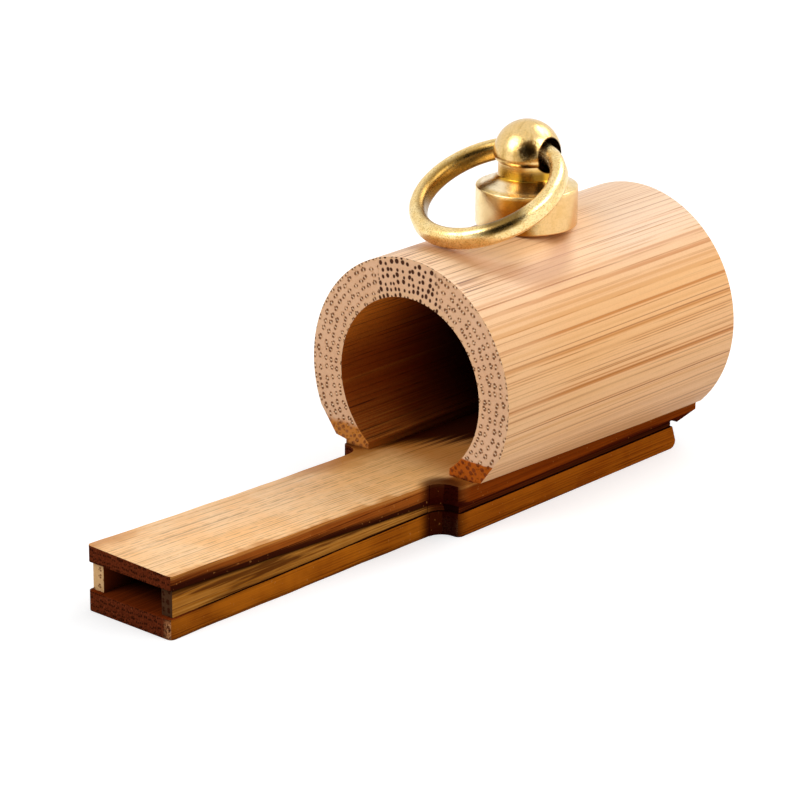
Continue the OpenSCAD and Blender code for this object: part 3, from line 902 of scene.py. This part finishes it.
# %% Cutters and ways to stand a shape
def rod(x, low, high, radius, segments=72):
    """Upright round cutter over the middle line, between two heights."""
    bm = bmesh.new()
    stand = Matrix.Translation(Vector((x, 0, (low + high) / 2)) * MM)
    bmesh.ops.create_cone(bm, cap_ends=True, segments=segments, radius1=radius * MM,
                          radius2=radius * MM, depth=(high - low) * MM, matrix=stand)
    return bm


def block(low, high):
    """Square cutter between two corners."""
    bm = bmesh.new()
    size = Vector(high) - Vector(low)
    stand = Matrix.Translation((Vector(low) + size / 2) * MM) @ Matrix.Diagonal((*(size * MM), 1))
    bmesh.ops.create_cube(bm, size=1, matrix=stand)
    return bm


def on_its_side(x, z, axis):
    """Turns a flat shape upright about an axis, at a place over the middle line."""
    return Matrix.Translation(Vector((x, 0, z)) * MM) @ Matrix.Rotation(math.radians(90), 4, axis)


def pull(bm, faces, length):
    """Extrudes faces along the tube."""
    pulled = bmesh.ops.extrude_face_region(bm, geom=faces)
    moved = [v for v in pulled["geom"] if isinstance(v, bmesh.types.BMVert)]
    bmesh.ops.translate(bm, verts=moved, vec=(length * MM, 0, 0))


def grind_to_boards(bm):
    """Keeps what lies above the boards' sloping top."""
    cut_below(bm, (FRONT_X, 0, BOARDS_H), Vector((math.sin(SLOPE), 0, math.cos(SLOPE))))


# %% [markdown]
# ## The tube
# Two circles are bridged into a ring and pulled along the tube, which gives clean
# strips of faces where a drilled solid gives slivers. Planes grind the flat along the
# boards' slope and shave the two flanks, 0.4 mm deep at the front and running out after
# 34 mm. Blocks then saw the gap between the feet and the bevels outside them, and rods
# cut the stud's seat, the screw's hole and room for the screw's head.

# %% Model the tube
GAP_HALF, FLAT_HALF, BEVEL, LEFT_STEP = 5.45, 8.5, math.tan(math.radians(10)), 0.4
FLANK, SHAVED_R, SHAVING = math.radians(37), TUBE_R - 0.4, math.atan(0.4 / 34)
SEAT_R, SCREW_HOLE_R, SCREW_HEAD_R = 5.4, 1.6, 2.9


def bevel_block(side, step):
    """Wedge that bevels the outside of one foot, along the boards' slope."""
    bm = block((FRONT_X - 1, FLAT_HALF, BOARDS_H - 2),
               (FRONT_X + TUBE_L + 1, TUBE_R + 1, BOARDS_H + step))
    outer = [v for v in bm.verts if v.co.z > BOARDS_H * MM - 1e-9 and v.co.y > TUBE_R * MM]
    bmesh.ops.translate(bm, verts=outer, vec=(0, 0, (TUBE_R + 1 - FLAT_HALF) * BEVEL * MM))
    hinge = Vector((FRONT_X, 0, BOARDS_H)) * MM
    bmesh.ops.rotate(bm, verts=bm.verts, cent=hinge, matrix=Matrix.Rotation(SLOPE, 3, "Y"))
    if side < 0:
        bmesh.ops.scale(bm, vec=(1, -1, 1), verts=bm.verts)
        bmesh.ops.reverse_faces(bm, faces=bm.faces)
    return bm


def tube_blank():
    bm = bmesh.new()
    loops = []
    for radius, height in ((TUBE_R, TUBE_Z), (BORE_R, BORE_Z)):
        ring = bmesh.ops.create_circle(bm, cap_ends=False, segments=180, radius=radius * MM,
                                       matrix=on_its_side(FRONT_X, height, "Y"))
        loops += list({e for v in ring["verts"] for e in v.link_edges})
    pull(bm, bmesh.ops.bridge_loops(bm, edges=loops)["faces"], TUBE_L)
    grind_to_boards(bm)
    for side in (-1, 1):
        out = Vector((0, side * math.cos(FLANK), -math.sin(FLANK)))
        plane = Vector((math.sin(SHAVING), 0, 0)) - out * math.cos(SHAVING)
        cut_below(bm, Vector((FRONT_X, 0, TUBE_Z)) + out * SHAVED_R, plane)
    bmesh.ops.recalc_face_normals(bm, faces=bm.faces)
    return bm


def in_gap(middle):
    """Whether a face is in the gap between the feet."""
    return abs(middle.y) < GAP_HALF + 0.1 and middle.z < BORE_Z


def build_tube():
    crown = TUBE_Z + TUBE_R
    bm = tube_blank()
    for tool in (block((FRONT_X - 1, -GAP_HALF, BOARDS_H - 3),
                       (FRONT_X + TUBE_L - PLUG_T, GAP_HALF, BORE_Z)),
                 bevel_block(1, LEFT_STEP),
                 bevel_block(-1, 0.0),
                 rod(STUD_X, crown - SEAT_DEPTH, crown + 1, SEAT_R, 120),
                 rod(STUD_X, TUBE_Z, crown + 1, SCREW_HOLE_R),
                 rod(STUD_X, TUBE_Z, BORE_Z + BORE_R + 0.05, SCREW_HEAD_R)):
        bm = cut_out(bm, tool)
    bmesh.ops.recalc_face_normals(bm, faces=bm.faces)
    for face in bm.faces:
        middle = face.calc_center_median() / MM
        if abs(face.normal.x) > 0.9:
            face.material_index = 1
        elif math.hypot(middle.y, middle.z - BORE_Z) < BORE_R + 0.1 or in_gap(middle):
            face.material_index = 2
    count = soften(bm, 0.16)
    open_edges = sum(len(e.link_faces) == 1 for e in bm.edges)
    print("tube:", count, "edges softened,", open_edges, "open edges")
    finish_piece("culm_tube", bm, [CULM, CULM_END, BORE],
                 stands_for=["resonator_tube"])


build_tube()

# %% [markdown]
# ## The disc in the far end
# The disc closes the bore flush with the tube's far end. The gap between the feet stops
# at its inner face, and its radius is 0.05 mm under the bore's.

# %% Model the end disc
def build_disc():
    bm = bmesh.new()
    bmesh.ops.create_circle(bm, cap_ends=True, segments=120, radius=(BORE_R - 0.05) * MM,
                            matrix=on_its_side(FRONT_X + TUBE_L - PLUG_T, BORE_Z, "Y"))
    pull(bm, bm.faces[:], PLUG_T)
    grind_to_boards(bm)
    soften(bm, 0.12, segments=2)
    finish_piece("end_disc", bm, [SLICE], stands_for=["end_plug"])


build_disc()

# %% [markdown]
# ## The boards and strips
# Each board starts as a merged copy of its CAD solid, whose triangles are dissolved
# back into whole faces. The base's upright corners and its top edges are rounded most,
# as a file rounds what sticks out, and every other edge a little. Then the side edges
# are pushed in unevenly, and the upper board's left edge is lifted near the mouth,
# where the bamboo has curled. Faces get their finish by the way they look: up, towards
# the windway, along the stem, or out to the side.

# %% Copy a CAD solid with whole faces
def soft_copy(node):
    bm = bmesh.new()
    bm.from_mesh(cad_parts[node].data)
    bmesh.ops.remove_doubles(bm, verts=bm.verts, dist=1e-6)
    bmesh.ops.dissolve_limit(bm, angle_limit=math.radians(0.5), verts=bm.verts, edges=bm.edges,
                             delimit=set())
    return bm


# %% Tell a board's edges apart
def rise_and_middle(edge):
    """How upright an edge is, from 0 to 1, and its middle in millimetres."""
    a, b = (v.co / MM for v in edge.verts)
    return abs((b - a).normalized().z), (a + b) / 2


def base_corner(edge):
    rise, middle = rise_and_middle(edge)
    return rise > 0.9 and abs(middle.y) > BASE_W / 2 - 0.1 and middle.x < FRONT_X


def base_top(edge):
    rise, middle = rise_and_middle(edge)
    return rise < 0.3 and abs(middle.y) > JUNCTION_W / 2 + 0.3 and middle.z > BOARDS_H - 1.2


def mouth_corner(edge):
    rise, middle = rise_and_middle(edge)
    return rise > 0.9 and middle.x < MOUTH_X + 1


# %% File the side edges and curl the upper board
CURL_RISE, CURL_L = 0.28, 20


def filed(bm):
    """Moves the side edges in by up to 0.12 mm, and lifts the upper board's left edge."""
    for step in range(1, 20):
        bmesh.ops.bisect_plane(bm, geom=bm.verts[:] + bm.edges[:] + bm.faces[:], dist=1e-8,
                               plane_co=Vector((MOUTH_X + 2.0 * step, 0, 0)) * MM, plane_no=(1, 0, 0))
    for vert in bm.verts:
        x, y, z = vert.co / MM
        if MOUTH_X + 1 < x < FRONT_X - 3 and abs(y) > 3:
            wave = math.sin(x * 0.9 + z) + math.sin(x * 0.37 + y) + 2
            vert.co.y -= math.copysign(0.03 * wave * MM, y)
        if z > BOARDS_H + 0.3 and x < MOUTH_X + CURL_L:
            share = (1 - (x - MOUTH_X) / CURL_L) * (y + MOUTH_W / 2) / MOUTH_W
            vert.co.z += CURL_RISE * MM * max(0.0, share)


# %% Model the boards and strips
def build_board(name, node, materials, top, under):
    bm = soft_copy(node)
    soften(bm, 0.6, segments=5, where=base_corner)
    soften(bm, 0.5, segments=4, where=mouth_corner)
    if node == "roof_board":
        soften(bm, 0.42, segments=4, where=base_top)
    soften(bm, 0.2)
    filed(bm)
    for face in bm.faces:
        if abs(face.normal.x) > 0.8:
            face.material_index = 1
        elif face.normal.z > 0.6:
            face.material_index = top
        elif face.normal.z < -0.8:
            face.material_index = under
        else:
            face.material_index = 2
    finish_piece(name, bm, materials, stands_for=[node])


def build_strip(name, node, inner):
    bm = soft_copy(node)
    soften(bm, 0.1)
    for face in bm.faces:
        if face.normal.y * inner > 0.8:
            face.material_index = 2
        else:
            face.material_index = int(abs(face.normal.x) > 0.8)
    finish_piece(name, bm, [STRIP, STRIP_END, WINDWAY], stands_for=[node])


build_board("upper_board", "roof_board", [TOP, END, ROOF_SIDE, WINDWAY], top=0, under=3)
build_board("lower_board", "floor_board", [WINDWAY, END, FLOOR_SIDE], top=0, under=2)
build_strip("strip_left", "left_spacer", inner=-1)
build_strip("strip_right", "right_spacer", inner=1)

# %% [markdown]
# ## The stud
# The stud is turned on a lathe, so its half outline is spun about the upright axis:
# foot, straight wall, cone, neck and round head. The ring's hole is drilled across the
# head, and the screw's hole up from below.

# %% Half outline of the stud
def arc(cx, cz, radius, start, stop, steps):
    """Points on an arc between two angles in degrees."""
    angles = [math.radians(start + (stop - start) * k / steps) for k in range(steps + 1)]
    return [(cx + radius * math.cos(a), cz + radius * math.sin(a)) for a in angles]


def stud_profile():
    points = [(0, STUD_SEAT), (5.0, STUD_SEAT)]
    points += arc(5.1, STUD_SEAT + 0.15, 0.15, -90, 0, 4)
    points += [(5.25, STUD_SEAT + k * 0.9) for k in (1, 2, 3, 4)]
    points += arc(5.13, RIM_Z - 0.12, 0.12, 0, 90, 4)
    points += [(4.6, RIM_Z + 0.25), (4.0, RIM_Z + 0.5), (3.5, RIM_Z + 0.74)]
    points += arc(3.2, RIM_Z + 1.15, 0.2, -120, -180, 3)
    points += [(3.0, RIM_Z + 1.5), (3.0, HEAD_MID - 0.95)]
    points += arc(2.475, HEAD_MID, 1.0, -56, 0, 8)
    return points + arc(0, HEAD_MID, HEAD_R, 6, 84, 14) + [(0, HEAD_MID + HEAD_R)]


# %% Model the stud
THREAD_R, THREAD_H = 1.55, 3.6


def spin_round(bm, x, steps):
    """Spins everything about the upright line at x, and closes the seam."""
    bmesh.ops.spin(bm, geom=bm.verts[:] + bm.edges[:], cent=Vector((x, 0, 0)) * MM, axis=(0, 0, 1),
                   angle=2 * math.pi, steps=steps, use_merge=True)
    bmesh.ops.remove_doubles(bm, verts=bm.verts, dist=1e-7)


def build_stud():
    bm = bmesh.new()
    verts = [bm.verts.new(Vector((STUD_X + r, 0, z)) * MM) for r, z in stud_profile()]
    for a, b in zip(verts, verts[1:]):
        bm.edges.new((a, b))
    spin_round(bm, STUD_X, 144)
    bmesh.ops.recalc_face_normals(bm, faces=bm.faces)
    drill = bmesh.new()
    bmesh.ops.create_cone(drill, cap_ends=True, segments=72, radius1=HOLE_R * MM, radius2=HOLE_R * MM,
                          depth=9 * MM, matrix=on_its_side(STUD_X, HOLE_Z, "X"))
    bm = cut_out(bm, drill)
    bm = cut_out(bm, rod(STUD_X, STUD_SEAT - 1, STUD_SEAT + THREAD_H, THREAD_R))
    finish_piece("stud_turned", bm, [BRASS_STUD], stands_for=["ring_stud"], sharp=35)


build_stud()

# %% [markdown]
# ## The ring
# The ring's wire is taller than it is thick. A circle is pulled apart at its middle
# into flat flanks with round edges, set at the ring's radius and spun about the
# ring's axis. It lies where the CAD ring lies: tilted in the hole, leaning forward onto
# the tube. An attribute marks the wire's inner side for its painted reflection.

# %% Model the ring
WIRE_T, WIRE_H = 1.7, 2.3
RING_LEAN, RING_TILT, RING_ARM = math.radians(25.7206), math.radians(3.5), 7.02002


def build_ring():
    bm = bmesh.new()
    section = bmesh.ops.create_circle(bm, cap_ends=False, segments=36, radius=WIRE_T / 2 * MM,
                                      matrix=on_its_side(RING_R, 0, "X"))["verts"]
    for side in (-1, 1):
        half = [v for v in section if v.co.z * side > 1e-7]
        bmesh.ops.translate(bm, verts=half, vec=(0, 0, side * (WIRE_H - WIRE_T) / 2 * MM))
    spin_round(bm, 0, 180)
    inner = bm.verts.layers.float.new("inner")
    for vert in bm.verts:
        inward = (RING_R - vert.co.xy.length / MM) / (WIRE_T / 2)
        vert[inner] = min(1.0, max(0.0, inward * 1.6))
    lay = Matrix.Translation(Vector((STUD_X, 0, HOLE_Z)) * MM) @ Matrix.Rotation(-RING_TILT, 4, "X")
    lay = lay @ Matrix.Rotation(-RING_LEAN, 4, "Y") @ Matrix.Translation(Vector((-RING_ARM, 0, 0)) * MM)
    bmesh.ops.transform(bm, matrix=lay, verts=bm.verts)
    finish_piece("ring_wire", bm, [BRASS_RING], body="ring", stands_for=["ring"],
                 sharp=60)


build_ring()

# %% [markdown]
# ## The screw
# The screw's CAD shape is right as it is, so it stays and only gets a steel finish.

# %% Material: screw steel
def steel():
    f = Finish("screw_steel_worn", Metallic=1.0, Roughness=0.35)
    f.locate()
    f.base = f.blend(f.noise(f.place, 3.0, 3.0), (0.42, 0.41, 0.40), (0.62, 0.61, 0.60))
    return f.done(f.noise(f.place, 14.0, 2.0), 0.01, 0.4)


STEEL = steel()
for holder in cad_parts["fixing_screw"].material_slots:
    holder.material = STEEL
print("the screw wears", STEEL.name)

# %% [markdown]
# ## Floor and background
# The floor is plain and pale. It adds a little white only where the camera or a
# mirror looks at it, so the picture's ground is white and the shadow still shows. It
# lies a fiftieth of a millimetre below the call, so the two never share a plane.

# %% Floor
def pale_floor():
    f = Finish("pale_floor", Roughness=0.9, Base_Color=(0.6, 0.6, 0.6, 1), Emission_Color=(1, 1, 1, 1))
    rays = f.add("ShaderNodeLightPath").outputs
    f.feed("Emission Strength", f.times(f.most(rays["Is Camera Ray"], rays["Is Glossy Ray"]), 0.56))
    return f.material


def build_floor():
    bm = bmesh.new()
    bmesh.ops.create_grid(bm, x_segments=2, y_segments=2, size=1.6)
    bmesh.ops.translate(bm, verts=bm.verts, vec=(0, 0, -0.00002))
    ground = loose_object("pale_floor", bm)
    ground.data.materials.append(pale_floor())


build_floor()

# %% [markdown]
# ## The room
# The room is white where it is looked at or mirrored, and only a third as bright where
# it lights the wood, so that the lamps still shape the call.

# %% World
world = bpy.data.worlds.new("white room")
bpy.context.scene.world = world
world.use_nodes = True
sky = Tree(world.node_tree)
rays = sky.add("ShaderNodeLightPath").outputs
seen = sky.most(sky.most(rays["Is Camera Ray"], rays["Is Transmission Ray"]), rays["Is Glossy Ray"])
walls = world.node_tree.nodes["Background"].inputs
walls["Color"].default_value = (1, 1, 1, 1)
sky.link(sky.between(seen, 0.0, 1.0, 0.33, 1.0), walls["Strength"])

# %% [markdown]
# ## Lamps
# One large soft lamp behind and above the far end draws the long pale sheen on the
# tube, a second fills from the camera's left, and a small one lifts the right side.

# %% Lamps
def soft_lamp(name, place, aim, size, power):
    lamp = bpy.data.lights.new(name, "AREA")
    lamp.shape, lamp.size, lamp.energy = "DISK", size, power
    thing = bpy.data.objects.new(name, lamp)
    thing.location = place
    thing.rotation_euler = (Vector(aim) - Vector(place)).to_track_quat("-Z", "Y").to_euler()
    bpy.context.scene.collection.objects.link(thing)
    print("lamp", name, "of", power, "W")


MIDDLE = (0.0, 0.0, 0.015)
soft_lamp("key", (0.42, -0.10, 0.46), MIDDLE, 0.36, 1.5)
soft_lamp("left", (-0.52, 0.19, 0.43), MIDDLE, 0.5, 2.3)
soft_lamp("right", (0.12, -0.51, 0.39), MIDDLE, 0.4, 1.55)

# %% [markdown]
# ## Camera
# The camera stands where the photograph was taken from: a long lens, a little above
# the call, looking at its mouth end and right side. CAM_K is the width of a millimetre
# in pixels of a picture 800 wide, and CAM_X and CAM_Y shift the call in that picture.

# %% Camera
CAM_AZ, CAM_EL, CAM_ROLL = math.radians(-48.566), math.radians(19.606), math.radians(0.372)
CAM_X, CAM_Y, CAM_D, CAM_K = -0.084, -2.482, 350.0, 10.024
SENSOR_W, PICTURE_W = 36.0, 800


def place_camera():
    back = Vector((math.sin(CAM_AZ) * math.cos(CAM_EL), -math.cos(CAM_AZ) * math.cos(CAM_EL),
                   math.sin(CAM_EL)))
    right = Vector((math.cos(CAM_AZ), math.sin(CAM_AZ), 0))
    up = back.cross(right)
    right_r = right * math.cos(CAM_ROLL) + up * math.sin(CAM_ROLL)
    up_r = up * math.cos(CAM_ROLL) - right * math.sin(CAM_ROLL)
    data = bpy.data.cameras.new("camera")
    data.sensor_width, data.lens = SENSOR_W, CAM_K * CAM_D / PICTURE_W * SENSOR_W
    data.clip_start, data.clip_end = 0.01, 10.0
    camera = bpy.data.objects.new("camera", data)
    turn = Matrix((right_r, up_r, back)).transposed().to_4x4()
    spot = Vector((0, 0, 15)) + back * CAM_D + right_r * CAM_X + up_r * CAM_Y
    camera.matrix_world = Matrix.Translation(spot * MM) @ turn
    bpy.context.scene.collection.objects.link(camera)
    bpy.context.scene.camera = camera
    print("lens:", round(data.lens, 1), "mm")


place_camera()
bpy.context.scene.view_settings.view_transform = "Standard"

# %% [markdown]
# ## Dark card and dark mat
# A dark card stands round the camera and a dark mat lies in front of the call. Only
# mirrors see them. They give the brass the dark patches that a photographer's own shape
# and the table leave on shiny metal.

# %% Dark card and dark mat on the camera's side
FELT = Finish("black_felt", Roughness=0.9, Base_Color=(0.02, 0.015, 0.01, 1)).material


def for_mirrors(name, bm):
    """A piece of the stage that only shiny surfaces see."""
    thing = loose_object(name, bm)
    thing.data.materials.append(FELT)
    for ray in ("camera", "diffuse", "transmission", "volume_scatter", "shadow"):
        setattr(thing, "visible_" + ray, False)


def dark_card():
    bm = bmesh.new()
    bmesh.ops.create_circle(bm, cap_ends=True, segments=48, radius=0.26)
    eye = bpy.context.scene.camera.matrix_world
    bmesh.ops.transform(bm, matrix=eye @ Matrix.Translation((0.0, 0.0, 0.05)), verts=bm.verts)
    for_mirrors("dark_card", bm)


def dark_mat():
    bm = bmesh.new()
    bmesh.ops.create_grid(bm, x_segments=1, y_segments=1, size=1)
    bmesh.ops.scale(bm, vec=(0.05, 0.14, 1), verts=bm.verts)
    lay = Matrix.Rotation(CAM_AZ, 4, "Z") @ Matrix.Translation((0.0, -0.20, 0.001))
    bmesh.ops.transform(bm, matrix=lay, verts=bm.verts)
    for_mirrors("dark_mat", bm)


dark_card()
dark_mat()
